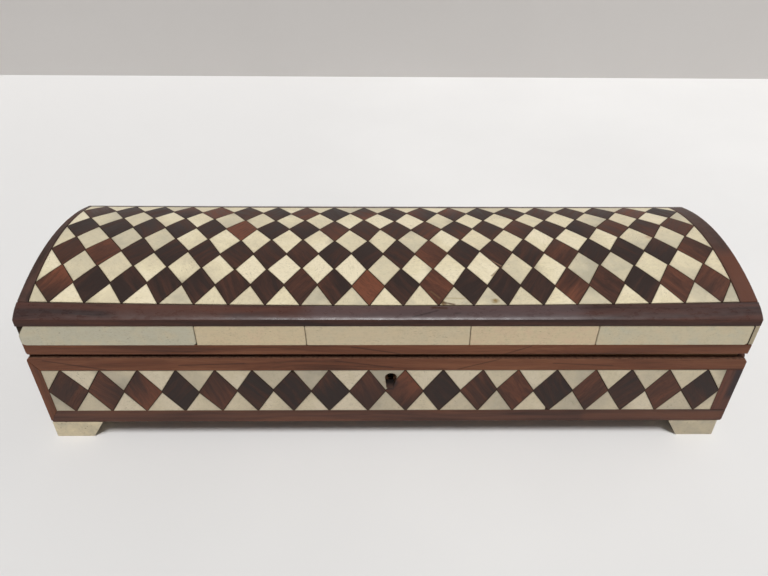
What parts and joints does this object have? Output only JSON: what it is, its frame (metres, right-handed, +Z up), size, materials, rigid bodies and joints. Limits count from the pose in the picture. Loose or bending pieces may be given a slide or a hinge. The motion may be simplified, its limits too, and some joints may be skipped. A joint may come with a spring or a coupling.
{
  "type": "bone inlaid box",
  "caption": "Long low wooden box with a slightly domed, hinged lid, a lozenge inlay of bone and dark wood, bone edging and feet, and a small lock.",
  "frame": {"origin": "middle of the footprint on the surface that the box stands on", "axes": "+X to the right along the length, -Y out of the front with the keyhole, +Z up"},
  "size_m": [0.307, 0.0968, 0.0794],
  "materials": {
    "inner_wood": "plain, dry",
    "reddish_wood": "satin, worn",
    "dark_wood": "satin, worn",
    "inlay_wood": "satin, worn",
    "bone": "satin, aged and stained",
    "brass": "aged",
    "steel": "aged"
  },
  "bodies": {
    "base": {"base_back_bone": "bone", "base_back_bottom_strip": "dark_wood", "base_back_frame": "reddish_wood", "base_back_lozenges": "inlay_wood", "base_back_wall": "inner_wood", "base_bottom_board": "inner_wood", "base_front_bone": "bone", "base_front_bottom_strip": "dark_wood", "base_front_left_stile": "reddish_wood", "base_front_lozenges": "inlay_wood", "base_front_right_stile": "reddish_wood", "base_front_top_strip": "reddish_wood", "base_front_wall": "inner_wood", "base_left_bone": "bone", "base_left_bottom_strip": "dark_wood", "base_left_frame": "reddish_wood", "base_left_lozenges": "inlay_wood", "base_left_wall": "inner_wood", "base_right_bone": "bone", "base_right_bottom_strip": "dark_wood", "base_right_frame": "reddish_wood", "base_right_lozenges": "inlay_wood", "base_right_wall": "inner_wood", "foot_back_left": "bone", "foot_back_right": "bone", "foot_front_left": "bone", "foot_front_right": "bone", "hinge_left_base_leaf": "brass", "hinge_left_pin": "steel", "hinge_right_base_leaf": "brass", "hinge_right_pin": "steel", "key_pin": "steel", "lock_case": "steel", "lock_plate": "brass"},
    "lid": {"dome_bone": "bone", "dome_lozenges": "inlay_wood", "hinge_left_lid_leaf": "brass", "hinge_right_lid_leaf": "brass", "lid_back_bone_strips": "bone", "lid_back_lower_strip": "reddish_wood", "lid_back_nosing": "dark_wood", "lid_back_rail": "inner_wood", "lid_dome_board": "inner_wood", "lid_front_bone_strips": "bone", "lid_front_lower_strip": "reddish_wood", "lid_front_nosing": "dark_wood", "lid_front_rail": "inner_wood", "lid_left_band": "reddish_wood", "lid_left_bone_strips": "bone", "lid_left_end": "inner_wood", "lid_left_lower_strip": "reddish_wood", "lid_left_lunette": "reddish_wood", "lid_right_band": "reddish_wood", "lid_right_bone_strips": "bone", "lid_right_end": "inner_wood", "lid_right_lower_strip": "reddish_wood", "lid_right_lunette": "reddish_wood", "lock_strike": "brass"},
    "bolt": {"lock_bolt": "steel"}
  },
  "joints": [
    {"name": "lid_hinge", "type": "hinge", "parent": "base", "child": "lid", "pos_m": [0, 0.0466, 0.0495], "axis": [-1, 0, 0], "range_deg": [0, 100]},
    {"name": "lock_bolt_slide", "type": "slide", "parent": "base", "child": "bolt", "axis": [1, 0, 0], "range_m": [0, 0.0036]}
  ]
}
